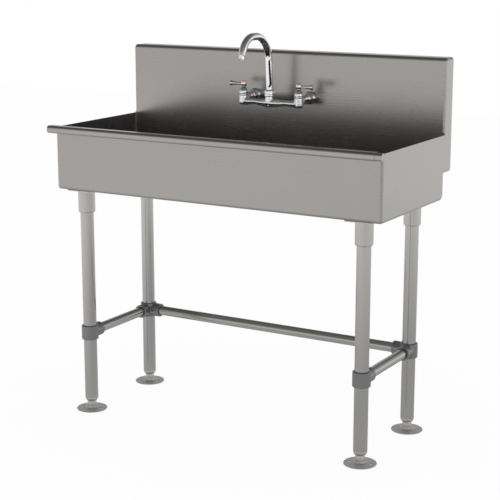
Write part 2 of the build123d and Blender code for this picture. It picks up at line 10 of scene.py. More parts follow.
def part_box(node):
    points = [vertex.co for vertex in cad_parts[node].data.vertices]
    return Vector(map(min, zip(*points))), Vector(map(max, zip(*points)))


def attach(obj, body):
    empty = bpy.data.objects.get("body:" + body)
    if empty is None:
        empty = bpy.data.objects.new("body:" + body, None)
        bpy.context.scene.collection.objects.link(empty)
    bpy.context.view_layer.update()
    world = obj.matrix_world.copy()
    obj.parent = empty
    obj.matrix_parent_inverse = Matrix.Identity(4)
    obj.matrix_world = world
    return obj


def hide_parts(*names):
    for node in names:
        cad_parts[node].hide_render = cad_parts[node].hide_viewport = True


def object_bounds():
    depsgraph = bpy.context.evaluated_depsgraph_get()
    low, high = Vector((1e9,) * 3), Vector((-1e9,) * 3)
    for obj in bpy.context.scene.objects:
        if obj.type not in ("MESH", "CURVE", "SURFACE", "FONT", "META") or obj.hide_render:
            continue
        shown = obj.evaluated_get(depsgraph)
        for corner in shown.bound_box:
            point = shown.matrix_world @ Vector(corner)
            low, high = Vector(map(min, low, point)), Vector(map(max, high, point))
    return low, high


bl_info = {
    "name": "Hand-wash sink",
    "version": (1, 0, 0),
    "blender": (4, 5, 0),
    "location": "View3D > Sidebar > Sink",
    "description": "Dresses a floor-standing hand-wash sink and sets it in a plain studio",
    "category": "Add Mesh",
}

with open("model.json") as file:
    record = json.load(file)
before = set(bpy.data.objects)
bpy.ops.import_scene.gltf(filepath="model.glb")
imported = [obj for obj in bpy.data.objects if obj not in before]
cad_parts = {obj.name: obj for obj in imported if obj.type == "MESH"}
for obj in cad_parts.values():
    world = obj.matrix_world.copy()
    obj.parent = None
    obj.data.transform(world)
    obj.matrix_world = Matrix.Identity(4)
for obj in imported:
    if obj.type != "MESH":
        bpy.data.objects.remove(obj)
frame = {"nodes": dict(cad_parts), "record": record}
cad_box = [list(corner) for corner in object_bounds()]

MM = 0.001
OUTLET_LENGTH = 16.0
OUTLET_TILT = math.radians(76)
UNION_FLATS = 31.0
SPOUT_CLEARANCE = 0.35
CARTRIDGE_CLEARANCE = 0.05
FOOT_BOLT_RADIUS = 29.35
FOOT_BOLT_TURNS = (11.0, 191.0)
CARD_DISTANCE = 3.2
CARD_START = -10
CARD_SWEEP = 105
CARD_MIDDLE = 47
CARD_TOP = 0.52
CARD_LOW = 0.24
CARD_RISE = 0.22
CARD_RISE_ANGLE = 60


# ---------------------------------------------------------------- settings
class StudioSettings(bpy.types.PropertyGroup):
    """Camera, floor and lights."""
    azimuth: bpy.props.FloatProperty(name="Camera azimuth",
                                     description="Camera's turn to the right of the front",
                                     default=math.radians(30.39), subtype="ANGLE")
    elevation: bpy.props.FloatProperty(name="Camera elevation", description="How far the camera looks down",
                                       default=math.radians(12.66), subtype="ANGLE")
    distance: bpy.props.FloatProperty(name="Camera distance",
                                      description="From the camera to the point it looks at",
                                      default=3.884, unit="LENGTH")
    aim: bpy.props.FloatVectorProperty(name="Aim", description="Point that the camera looks at, from the "
                                       "middle of the object's box", default=(0.0170, -0.0059, -0.0544),
                                       subtype="TRANSLATION")
    lens: bpy.props.FloatProperty(name="Lens", description="Focal length in millimetres on a 36 mm sensor",
                                  default=99.1, min=20)
    floor_size: bpy.props.FloatProperty(name="Floor size", description="Side of the square floor",
                                        default=14.0, unit="LENGTH")
    key_power: bpy.props.FloatProperty(name="Key power", description="Strength of the soft overhead panel",
                                       default=20.0, min=0)
    floor_near: bpy.props.FloatProperty(name="Floor near",
                                        description="Brightness of the floor close by, in metal",
                                        default=0.55, min=0)
    floor_far: bpy.props.FloatProperty(name="Floor far", description="Brightness of the far floor, in metal",
                                       default=1.0, min=0)
    horizon_left: bpy.props.FloatProperty(name="Horizon left",
                                          description="Brightness of the left side, in metal",
                                          default=0.80, min=0)
    horizon_right: bpy.props.FloatProperty(name="Horizon right", description="Brightness of the right side",
                                           default=1.22, min=0)


class FinishSettings(bpy.types.PropertyGroup):
    """Colours and gloss of the object's finishes."""
    sheet_colour: bpy.props.FloatVectorProperty(name="Sheet", description="Brushed sheet colour", size=3,
                                                default=(0.395, 0.382, 0.365), min=0, max=1, subtype="COLOR")
    tube_colour: bpy.props.FloatVectorProperty(name="Tube", description="Leg and rail colour", size=3,
                                               default=(0.475, 0.470, 0.452), min=0, max=1, subtype="COLOR")
    cast_colour: bpy.props.FloatVectorProperty(name="Cast fittings", description="Grey of the clamp fittings",
                                               size=3, default=(0.10, 0.105, 0.10), min=0, max=1,
                                               subtype="COLOR")


# ---------------------------------------------------------------- shared effects
def new_group(name, inputs, outputs):
    """Shader node group with named float, vector or colour sockets."""
    group = bpy.data.node_groups.new(name, "ShaderNodeTree")
    for socket_name, kind, default in inputs:
        socket = group.interface.new_socket(name=socket_name, in_out="INPUT", socket_type=kind)
        if default is not None:
            socket.default_value = default
    for socket_name, kind in outputs:
        group.interface.new_socket(name=socket_name, in_out="OUTPUT", socket_type=kind)
    return group, group.nodes.new("NodeGroupInput"), group.nodes.new("NodeGroupOutput")


def noise(tree, vector, scale, detail=3.0, rough=0.5):
    node = tree.nodes.new("ShaderNodeTexNoise")
    node.inputs["Scale"].default_value = scale
    node.inputs["Detail"].default_value = detail
    node.inputs["Roughness"].default_value = rough
    tree.links.new(vector, node.inputs["Vector"])
    return node.outputs["Fac"]


def remap(tree, value, low, high, to_low, to_high):
    node = tree.nodes.new("ShaderNodeMapRange")
    for name, number in (("From Min", low), ("From Max", high), ("To Min", to_low), ("To Max", to_high)):
        node.inputs[name].default_value = number
    tree.links.new(value, node.inputs["Value"])
    return node.outputs["Result"]


def math_node(tree, operation, a, b):
    node = tree.nodes.new("ShaderNodeMath")
    node.operation = operation
    for socket, value in zip(node.inputs, (a, b)):
        if isinstance(value, (int, float)):
            socket.default_value = value
        else:
            tree.links.new(value, socket)
    return node.outputs["Value"]


def tint(tree, factor, low, high):
    """Colour between two ends."""
    node = tree.nodes.new("ShaderNodeMix")
    node.data_type = "RGBA"
    tree.links.new(factor, node.inputs["Factor"])
    for socket, colour in ((node.inputs[6], low), (node.inputs[7], high)):
        if isinstance(colour, (tuple, list)):
            socket.default_value = (*colour[:3], 1)
        else:
            tree.links.new(colour, socket)
    return node.outputs[2]


def brushed_group():
    """Fine parallel scratches: stretched noise along one axis, with long faint bands."""
    group, enter, leave = new_group(
        "brushed_grain",
        [("Vector", "NodeSocketVector", None), ("Stretch", "NodeSocketVector", (6, 900, 900)),
         ("Band Stretch", "NodeSocketVector", (0.8, 40, 40)), ("Roughness", "NodeSocketFloat", 0.3),
         ("Roughness Spread", "NodeSocketFloat", 0.1), ("Colour", "NodeSocketColor", (0.5, 0.5, 0.5, 1)),
         ("Colour Spread", "NodeSocketFloat", 0.08)],
        [("Colour", "NodeSocketColor"), ("Roughness", "NodeSocketFloat"), ("Height", "NodeSocketFloat")])
    links = group.links
    fine_map = group.nodes.new("ShaderNodeVectorMath")
    fine_map.operation = "MULTIPLY"
    links.new(enter.outputs["Vector"], fine_map.inputs[0])
    links.new(enter.outputs["Stretch"], fine_map.inputs[1])
    band_map = group.nodes.new("ShaderNodeVectorMath")
    band_map.operation = "MULTIPLY"
    links.new(enter.outputs["Vector"], band_map.inputs[0])
    links.new(enter.outputs["Band Stretch"], band_map.inputs[1])
    fine = noise(group, fine_map.outputs["Vector"], 1.0, 2.0, 0.6)
    bands = noise(group, band_map.outputs["Vector"], 1.0, 3.0, 0.55)
    both = math_node(group, "ADD", math_node(group, "MULTIPLY", fine, 0.65),
                     math_node(group, "MULTIPLY", bands, 0.35))
    centred = math_node(group, "SUBTRACT", both, 0.5)
    rough = math_node(group, "ADD", enter.outputs["Roughness"],
                      math_node(group, "MULTIPLY", centred, enter.outputs["Roughness Spread"]))
    links.new(rough, leave.inputs["Roughness"])
    shade = math_node(group, "ADD",
                      math_node(group, "MULTIPLY", centred, enter.outputs["Colour Spread"]), 1.0)
    scale = group.nodes.new("ShaderNodeVectorMath")
    scale.operation = "SCALE"
    links.new(enter.outputs["Colour"], scale.inputs[0])
    links.new(shade, scale.inputs["Scale"])
    links.new(scale.outputs["Vector"], leave.inputs["Colour"])
    links.new(fine, leave.inputs["Height"])
    return group


def mottle_group():
    """Uneven sheen from handling: broad soft patches."""
    group, enter, leave = new_group(
        "soft_patches",
        [("Vector", "NodeSocketVector", None), ("Scale", "NodeSocketFloat", 6.0),
         ("Amount", "NodeSocketFloat", 0.1)],
        [("Offset", "NodeSocketFloat"), ("Mask", "NodeSocketFloat")])
    texture = group.nodes.new("ShaderNodeTexNoise")
    texture.inputs["Detail"].default_value = 4.0
    group.links.new(enter.outputs["Vector"], texture.inputs["Vector"])
    group.links.new(enter.outputs["Scale"], texture.inputs["Scale"])
    mask = remap(group, texture.outputs["Fac"], 0.35, 0.65, 0.0, 1.0)
    offset = math_node(group, "MULTIPLY", math_node(group, "SUBTRACT", mask, 0.5), enter.outputs["Amount"])
    group.links.new(offset, leave.inputs["Offset"])
    group.links.new(mask, leave.inputs["Mask"])
    return group


# ---------------------------------------------------------------- shape tools
def node_box(name):
    """Low corner, high corner and middle of a CAD node, in millimetres."""
    low, high = (Vector(corner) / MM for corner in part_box(name))
    return low, high, (low + high) / 2


def piece(name, shape, body, nodes, slot, sharp=35.0):
    """Finished mesh object from a bmesh in millimetres: rides on a body and stands for CAD nodes."""
    bmesh.ops.scale(shape, vec=(MM, MM, MM), verts=shape.verts)
    bmesh.ops.remove_doubles(shape, verts=shape.verts, dist=1e-6)
    bmesh.ops.recalc_face_normals(shape, faces=shape.faces)
    mesh = bpy.data.meshes.new(name)
    shape.to_mesh(mesh)
    shape.free()
    mesh.shade_smooth()
    mesh.set_sharp_from_angle(angle=math.radians(sharp))
    made = bpy.data.objects.new(name, mesh)
    bpy.context.scene.collection.objects.link(made)
    mesh.materials.append(bpy.data.materials[slot])
    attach(made, body)
    if nodes:
        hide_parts(*nodes)
    return made


def spin_outline(shape, outline, centre, axis=(0, 0, 1), steps=64):
    """Closed solid of revolution from (radius, height) points, added to a bmesh."""
    up = Vector(axis)
    side = Vector((1, 0, 0)) if abs(up.x) < 0.9 else Vector((0, 1, 0))
    side = (side - up * side.dot(up)).normalized()
    base = Vector(centre)
    verts = [shape.verts.new(base + side * radius + up * height) for radius, height in outline]
    closed = outline[0][0] > 0 and outline[-1][0] > 0
    pairs = list(zip(verts, verts[1:])) + ([(verts[-1], verts[0])] if closed else [])
    edges = [shape.edges.new(pair) for pair in pairs]
    bmesh.ops.spin(shape, geom=verts + edges, cent=base, axis=up, dvec=(0, 0, 0), angle=math.tau,
                   steps=steps, use_merge=True, use_duplicate=False)
    bmesh.ops.remove_doubles(shape, verts=shape.verts, dist=1e-4)


def soften(outline, radius, steps=3):
    """Outline with its inner corners rounded; end points stay."""
    done = [outline[0]]
    for before, here, after in zip(outline, outline[1:], outline[2:]):
        a, b, c = Vector(before), Vector(here), Vector(after)
        cut = min(radius, (a - b).length * 0.45, (c - b).length * 0.45)
        p, q = b + (a - b).normalized() * cut, b + (c - b).normalized() * cut
        for step in range(steps + 1):
            t = step / steps
            done.append(tuple(p * (1 - t) ** 2 + b * 2 * t * (1 - t) + q * t ** 2))
    done.append(outline[-1])
    return done


def bar(shape, start, end, radius_start, radius_end, segments=48):
    """Closed round bar or cone between two points."""
    start, end = Vector(start), Vector(end)
    run = end - start
    place = Matrix.Translation((start + end) / 2) @ run.to_track_quat("Z", "Y").to_matrix().to_4x4()
    bmesh.ops.create_cone(shape, cap_ends=True, segments=segments, radius1=radius_start, radius2=radius_end,
                          depth=run.length, matrix=place)


def ball(shape, centre, radius):
    bmesh.ops.create_uvsphere(shape, u_segments=32, v_segments=16, radius=radius,
                              matrix=Matrix.Translation(centre))


def hex_bar(shape, centre, axis, length, flats, corner):
    """Hexagonal nut body with chamfered corners, along an axis from its near face."""
    up = Vector(axis)
    turn = up.to_track_quat("Z", "Y").to_matrix().to_4x4()
    middle = Matrix.Translation(Vector(centre) + up * length / 2)
    place = middle @ turn @ Matrix.Rotation(math.radians(30), 4, "Z")
    made = bmesh.ops.create_cone(shape, cap_ends=True, segments=6, radius1=flats / math.sqrt(3),
                                 radius2=flats / math.sqrt(3), depth=length, matrix=place)
    rims = {edge for vert in made["verts"] for edge in vert.link_edges}
    bmesh.ops.bevel(shape, geom=list(rims), offset=corner, offset_type="OFFSET", segments=3, profile=0.5,
                    affect="EDGES", clamp_overlap=True, material=-1)


def thread(radius, depth, low, high, pitch):
    """Outline of a screw thread drawn as close rings, from low to high."""
    points = []
    count = int((high - low) / pitch)
    for turn in range(count):
        height = low + turn * pitch
        points += [(radius - depth, height), (radius, height + pitch * 0.5)]
    points.append((radius - depth, low + count * pitch))
    return points


def cast_from(name, node, body, slot, voxel, rounds, extra=None):
    """Casting: the CAD solid and any added lumps fused, with its hard corners flowed into fillets."""
    shape = bmesh.new()
    shape.from_mesh(frame["nodes"][node].data)
    bmesh.ops.remove_doubles(shape, verts=shape.verts, dist=1e-6)
    bmesh.ops.scale(shape, vec=(1000, 1000, 1000), verts=shape.verts)
    if extra:
        extra(shape)
    rough = bpy.data.meshes.new(name + "_rough")
    shape.to_mesh(rough)
    shape.free()
    blank = bpy.data.objects.new(name + "_rough", rough)
    bpy.context.scene.collection.objects.link(blank)
    fuse = blank.modifiers.new("fuse", "REMESH")
    fuse.mode = "VOXEL"
    fuse.voxel_size = voxel
    flow = blank.modifiers.new("flow", "SMOOTH")
    flow.factor = 0.5
    flow.iterations = rounds
    done = blank.evaluated_get(bpy.context.evaluated_depsgraph_get())
    mesh = bpy.data.meshes.new_from_object(done)
    shape = bmesh.new()
    shape.from_mesh(mesh)
    bpy.data.objects.remove(blank)
    bpy.data.meshes.remove(rough)
    bpy.data.meshes.remove(mesh)
    return piece(name, shape, body, [node], slot, sharp=60.0)


# ---------------------------------------------------------------- finishes
def blank_material(name, metallic, roughness, colour):
    """Material with a Principled shader whose plain values are set on its own sockets."""
    material = bpy.data.materials.new(name)
    material.use_nodes = True
    tree = material.node_tree
    shader = tree.nodes["Principled BSDF"]
    shader.inputs["Metallic"].default_value = metallic
    shader.inputs["Roughness"].default_value = roughness
    shader.inputs["Base Color"].default_value = (*colour, 1)
    place = tree.nodes.new("ShaderNodeTexCoord").outputs["Object"]
    return material, tree, shader, place


def bump(tree, shader, height, strength, distance):
    node = tree.nodes.new("ShaderNodeBump")
    node.inputs["Strength"].default_value = strength
    node.inputs["Distance"].default_value = distance
    tree.links.new(height, node.inputs["Height"])
    tree.links.new(node.outputs["Normal"], shader.inputs["Normal"])


def brushed_metal(name, groups, colour, roughness, stretch, band_stretch, spread=0.12, patch=0.06,
                  depth=0.02):
    """Brushed stainless: grain along the axis with the smallest stretch."""
    material, tree, shader, place = blank_material(name, 1.0, roughness, colour)
    grain = tree.nodes.new("ShaderNodeGroup")
    grain.node_tree = groups["brushed_grain"]
    tree.links.new(place, grain.inputs["Vector"])
    grain.inputs["Stretch"].default_value = stretch
    grain.inputs["Band Stretch"].default_value = band_stretch
    grain.inputs["Roughness"].default_value = roughness
    grain.inputs["Roughness Spread"].default_value = spread
    grain.inputs["Colour"].default_value = (*colour, 1)
    patches = tree.nodes.new("ShaderNodeGroup")
    patches.node_tree = groups["soft_patches"]
    patches.inputs["Amount"].default_value = patch
    tree.links.new(place, patches.inputs["Vector"])
    tree.links.new(grain.outputs["Colour"], shader.inputs["Base Color"])
    rough = math_node(tree, "ADD", grain.outputs["Roughness"], patches.outputs["Offset"])
    tree.links.new(rough, shader.inputs["Roughness"])
    bump(tree, shader, grain.outputs["Height"], depth, 0.0002)
    return material


def plain_finish(name, groups, colour, metallic, roughness, patch, patch_scale, dust=0.0, grit=0.0,
                 grit_scale=900):
    """Cast, plated, moulded or rubber finish: patchy gloss and, where asked, a fine grit."""
    material, tree, shader, place = blank_material(name, metallic, roughness, colour)
    patches = tree.nodes.new("ShaderNodeGroup")
    patches.node_tree = groups["soft_patches"]
    patches.inputs["Scale"].default_value = patch_scale
    patches.inputs["Amount"].default_value = patch
    tree.links.new(place, patches.inputs["Vector"])
    rough = math_node(tree, "ADD", patches.outputs["Offset"], roughness)
    tree.links.new(rough, shader.inputs["Roughness"])
    lighter = tuple(min(1.0, c * (1.12 + dust)) for c in colour)
    darker = tuple(c * (0.9 - dust) for c in colour)
    tree.links.new(tint(tree, patches.outputs["Mask"], darker, lighter), shader.inputs["Base Color"])
    if grit:
        bump(tree, shader, noise(tree, place, grit_scale, 3.0), grit, 0.0004)
    return material


def make_finishes():
    """Every finish by the record's slot name."""
    groups = {"brushed_grain": brushed_group(), "soft_patches": mottle_group()}
    settings = bpy.context.scene.sink_finish
    sheet, tube = tuple(settings.sheet_colour), tuple(settings.tube_colour)
    cast = tuple(settings.cast_colour)
    return {
        "brushed_sheet": brushed_metal("brushed_sheet", groups, sheet, 0.27, (5, 900, 900), (0.7, 30, 30),
                                       0.05, 0.02, 0.008),
        "rim_steel": brushed_metal("rim_steel", groups, sheet, 0.22, (5, 900, 900), (0.7, 60, 60)),
        "leg_steel": brushed_metal("leg_steel", groups, tube, 0.20, (500, 500, 8), (20, 20, 2),
                                   0.03, 0.02, 0.005),
        "foot_steel": brushed_metal("foot_steel", groups, (0.62, 0.61, 0.59), 0.13,
                                    (300, 300, 300), (40, 40, 40), 0.03, 0.02, 0.004),
        "polished_steel": brushed_metal("polished_steel", groups, (0.62, 0.62, 0.61), 0.16,
                                        (400, 400, 400), (40, 40, 40)),
        "cast_fitting": plain_finish("cast_fitting", groups, cast, 0.25, 0.48, 0.10, 30, 0.05, 0.25, 1400),
        "chrome": plain_finish("chrome", groups, (0.80, 0.80, 0.81), 1.0, 0.035, 0.02, 25),
        "brass": plain_finish("brass", groups, (0.62, 0.46, 0.22), 1.0, 0.30, 0.10, 60),
        "dark_screw": plain_finish("dark_screw", groups, (0.12, 0.12, 0.125), 0.9, 0.40, 0.10, 90),
        "black_rubber": plain_finish("black_rubber", groups, (0.02, 0.02, 0.021), 0.0, 0.62,
                                     0.12, 80, 0.1, 0.3),
        "hot_mark": plain_finish("hot_mark", groups, (0.60, 0.22, 0.22), 0.0, 0.22, 0.05, 200),
        "cold_mark": plain_finish("cold_mark", groups, (0.035, 0.045, 0.10), 0.0, 0.22, 0.05, 200),
    }


# ---------------------------------------------------------------- faucet
SIDES = (("hot", -1), ("cold", 1))
CORNERS = [(row, side) for row in ("front", "rear") for side in ("left", "right")]


def make_casting():
    """Mixer body with its bowed bridge, hub and inlet arms in one flowing casting."""
    high = node_box("faucet_body")[1]

    def lumps(shape):
        spout = node_box("spout_nut")[2]
        for name, _ in SIDES:
            valve = node_box(name + "_bonnet")[2]
            start = Vector((spout.x, spout.y, 901.5))
            end = Vector((valve.x, valve.y, 902.5))
            run = (end - start).normalized()
            bar(shape, start + run * 6, start + run * 44, 12.6, 8.2)
            bar(shape, end - run * 34, end - run * 4, 8.0, 11.8)
            ball(shape, (valve.x, valve.y, 904.6), 13.1)
        ball(shape, (spout.x, spout.y - 0.5, 902.5), 12.9)

    made = cast_from("faucet_casting", "faucet_body", "sink_frame", "chrome", 0.9, 9, lumps)
    drill = bmesh.new()
    tube_low, tube_high = node_box("spout_tube")[:2]
    spout = node_box("spout_nut")[2]
    bore = (tube_high.x - tube_low.x) / 2 + SPOUT_CLEARANCE
    bar(drill, (spout.x, spout.y, tube_low.z - 0.5), (spout.x, spout.y, high.z + 4), bore, bore, 64)
    for name, _ in SIDES:
        seat_low, seat_high, seat = node_box(name + "_cartridge")
        bore = seat_high.x - seat.x + CARTRIDGE_CLEARANCE
        bar(drill, (seat.x, seat.y, seat_low.z - 1), (seat.x, seat.y, high.z + 4), bore, bore, 64)
    cut_with(made, drill)


def make_bonnet(name):
    low, high, middle = node_box(name + "_bonnet")
    shape = bmesh.new()
    outer = high.x - middle.x
    outline = [(5.9, low.z + 9), (outer - 2.4, low.z + 9), (outer - 2.4, low.z), (outer, low.z),
               (outer, low.z + 3.2), (outer - 0.7, low.z + 3.8), (outer - 0.7, low.z + 4.8),
               (outer, low.z + 5.4), (outer, low.z + 9.5),
               (outer - 0.5, low.z + 12.8), (outer - 1.7, low.z + 15.6), (outer - 3.9, low.z + 18.2),
               (outer - 5.6, high.z - 0.8), (7.2, high.z), (5.9, high.z - 0.2)]
    spin_outline(shape, soften(outline, 0.8), (middle.x, middle.y, 0))
    piece(name + "_bonnet_dome", shape, "sink_frame", [name + "_bonnet"], "chrome")


def make_handle(name, sign):
    """Lever: waisted hub under a bead, and a blade that swells to a rounded tip."""
    low, high, middle = node_box(name + "_lever")
    x = node_box(name + "_bonnet")[2].x
    shape = bmesh.new()
    hub = [(4.2, low.z + 7.5), (4.2, low.z), (6.2, low.z), (7.2, low.z + 0.8), (7.0, low.z + 2.2),
           (7.9, low.z + 4.2),
           (8.5, low.z + 7.4), (8.3, low.z + 10.8), (7.9, low.z + 12.4), (7.5, low.z + 14.6), (6.9, high.z),
           (6.2, high.z - 0.2), (6.2, high.z - 2.9), (4.2, high.z - 2.9)]
    spin_outline(shape, soften(hub, 0.7), (x, middle.y, 0))
    reach = high.x - x if sign > 0 else x - low.x
    height = low.z + 8.0
    blade = [(0, 5.6), (3.9, 5.6), (3.8, 12), (4.1, 20), (5.0, 29), (6.4, 37.5), (7.3, reach - 4.5),
             (7.45, reach - 2.6), (6.6, reach - 0.9), (4.6, reach - 0.2), (0, reach)]
    spin_outline(shape, soften(blade, 1.6, 4), (x, middle.y, height), (sign, 0, 0))
    piece(name + "_lever_handle", shape, name + "_handle", [name + "_lever"], "chrome")


def make_button(name):
    low, high, middle = node_box(name + "_index_button")
    radius = high.x - middle.x
    shape = bmesh.new()
    outline = [(0, low.z), (radius, low.z), (radius, high.z - 1.5), (radius - 0.5, high.z - 0.9),
               (radius - 1.6, high.z - 0.45), (radius - 3.4, high.z - 0.1), (0, high.z)]
    spin_outline(shape, outline, (middle.x, middle.y, 0), steps=48)
    piece(name + "_index_dome", shape, name + "_handle", [name + "_index_button"], name + "_mark")


def make_union(name):
    """Hexagonal union nut with a turned collar at each face."""
    low, high, middle = node_box(name + "_coupling_nut")
    shape = bmesh.new()
    flats = UNION_FLATS
    hex_bar(shape, (middle.x, low.y + 2.4, middle.z), (0, 1, 0), high.y - low.y - 4.0, flats, 1.1)
    collar = flats / 2 - 1.2
    spin_outline(shape, soften([(0, 0), (collar - 2, 0), (collar, 1.6), (collar, 3.2), (0, 3.2)], 0.6),
                 (middle.x, low.y, middle.z), (0, 1, 0))
    spin_outline(shape, soften([(0, 0), (collar, 0), (collar, 2.4), (0, 2.4)], 0.4),
                 (middle.x, high.y - 2.4, middle.z), (0, 1, 0))
    piece(name + "_union_nut", shape, "sink_frame", [name + "_coupling_nut"], "chrome")


def make_wall_plates():
    low, high, middle = node_box("wall_flanges")
    radius = (high.z - low.z) / 2
    deep = high.y - low.y
    shape = bmesh.new()
    for x in (low.x + radius, high.x - radius):
        outline = [(11.2, 0), (13.0, 0), (14.2, 0.7), (15.6, 2.3), (17.3, 4.2), (radius - 0.3, 6.0),
                   (radius, deep - 0.6), (radius - 0.3, deep), (11.2, deep)]
        spin_outline(shape, outline, (x, low.y, middle.z), (0, 1, 0), 72)
    piece("wall_plates", shape, "sink_frame", ["wall_flanges"], "chrome")


def make_spout_nut():
    """Ring nut with finger flutes round its skirt."""
    low, high, middle = node_box("spout_nut")
    radius = high.x - middle.x
    shape = bmesh.new()
    outline = [(10.6, low.z), (radius - 1.2, low.z), (radius, low.z + 1.2), (radius, low.z + 5.2),
               (radius - 0.8, low.z + 5.9), (radius - 0.8, low.z + 6.9), (radius, low.z + 7.6),
               (radius, high.z - 4.6), (radius - 0.5, high.z - 2.4), (radius - 1.6, high.z - 0.9),
               (12.4, high.z), (10.6, high.z)]
    spin_outline(shape, outline, (middle.x, middle.y, 0), steps=72)
    for flute in range(12):
        turn = math.tau * flute / 12
        point = (middle.x + (radius - 0.3) * math.cos(turn), middle.y + (radius - 0.3) * math.sin(turn))
        bar(shape, (*point, high.z - 9.5), (*point, high.z - 5.0), 1.1, 1.1, 10)
    piece("spout_ring_nut", shape, "sink_frame", ["spout_nut"], "chrome")


def make_outlet():
    """Outlet with a stepped collar and a plain dark screen in its mouth."""
    middle = node_box("aerator")[2]
    pose = Vector((0, -math.cos(OUTLET_TILT), -math.sin(OUTLET_TILT)))
    start = middle - pose * OUTLET_LENGTH / 2
    shape = bmesh.new()
    outline = [(7.2, 0.2), (10.1, 0.2), (10.2, 3.6), (9.5, 4.6), (9.2, 5.4), (9.2, 13.6), (9.0, 15.2),
               (8.3, 15.9), (7.4, 15.9), (7.2, 15.2)]
    spin_outline(shape, outline, start, pose)
    piece("outlet_shell", shape, "spout", ["aerator"], "chrome")
    shape = bmesh.new()
    spin_outline(shape, [(0, 14.2), (7.25, 14.2), (7.25, 14.9), (0, 14.9)], start, pose, 48)
    piece("outlet_screen", shape, "spout", [], "dark_screw")


# ---------------------------------------------------------------- legs, feet and fittings
def make_foot(row, side):
    """Floor flange with countersunk anchor holes, turned hub and threaded stud."""
    name = f"foot_{row}_{side}"
    high, middle = node_box(name)[1:]
    radius = high.x - middle.x
    shape = bmesh.new()
    hub = 13.0
    outline = [(0, 0), (radius - 0.8, 0), (radius, 0.8), (radius, 2.2), (radius - 0.7, 2.9),
               (hub + 4.2, 3.0), (hub + 1.6, 3.5), (hub + 0.5, 4.6), (hub, 6.2), (hub, 12.2),
               (hub - 0.5, 12.6), (hub - 0.5, 13.4),
               (hub, 13.8), (hub, 24.4), (hub - 0.7, 25.6), (hub - 1.8, 26.1), (6.0, 26.1)]
    outline += thread(6.0, 0.75, 26.3, 60.2, 1.5) + [(4.6, 61.8), (0, 62.0)]
    spin_outline(shape, outline, (middle.x, middle.y, 0), steps=72)
    made = piece(f"{name}_turned", shape, f"{row}_{side}_foot", [name], "foot_steel")
    drill = bmesh.new()
    for turn in FOOT_BOLT_TURNS:
        point = (middle.x + FOOT_BOLT_RADIUS * math.cos(math.radians(turn)),
                 middle.y + FOOT_BOLT_RADIUS * math.sin(math.radians(turn)))
        bar(drill, (*point, -2.0), (*point, 5.0), 4.0, 4.0, 32)
        bar(drill, (*point, 1.6), (*point, 3.6), 3.6, 6.0, 32)
    cut_with(made, drill)


def cut_with(made, drill):
    """Takes a bmesh in millimetres out of a finished piece."""
    bmesh.ops.scale(drill, vec=(MM, MM, MM), verts=drill.verts)
    mesh = bpy.data.meshes.new(made.name + "_drill")
    drill.to_mesh(mesh)
    drill.free()
    tool = bpy.data.objects.new(made.name + "_drill", mesh)
    bpy.context.scene.collection.objects.link(tool)
    cut = made.modifiers.new("cut", "BOOLEAN")
    cut.operation = "DIFFERENCE"
    cut.solver = "EXACT"
    cut.use_self = True
    cut.object = tool
    done = made.evaluated_get(bpy.context.evaluated_depsgraph_get())
    fresh = bpy.data.meshes.new_from_object(done)
    made.modifiers.clear()
    made.data = fresh
    bpy.data.objects.remove(tool)
    bpy.data.meshes.remove(mesh)
    fresh.shade_smooth()
    fresh.set_sharp_from_angle(angle=math.radians(35))


def make_insert(row, side):
    """Bullet insert: tapered lower end with a fine groove under the tube."""
    name = f"foot_insert_{row}_{side}"
    middle = node_box(name)[2]
    tube = outer_radius(f"leg_tube_{row}_{side}")
    shape = bmesh.new()
    outline = [(6.4, 26.5), (13.6, 26.5), (14.7, 26.8), (16.2, 27.9), (17.5, 29.7), (18.4, 32.2),
               (tube - 0.1, 35.0), (tube, 36.8), (tube - 0.1, 37.2), (tube - 0.9, 37.4),
               (tube - 0.9, 38.3), (17.4, 38.4), (17.4, 69.0),
               (16.4, 70.0), (6.4, 70.0)]
    spin_outline(shape, outline, (middle.x, middle.y, 0), steps=72)
    piece(f"{name}_bullet", shape, "sink_frame", [name], "foot_steel")


def outer_radius(name):
    """Outer radius of an upright round CAD node, in millimetres."""
    high, middle = node_box(name)[1:]
    return high.x - middle.x


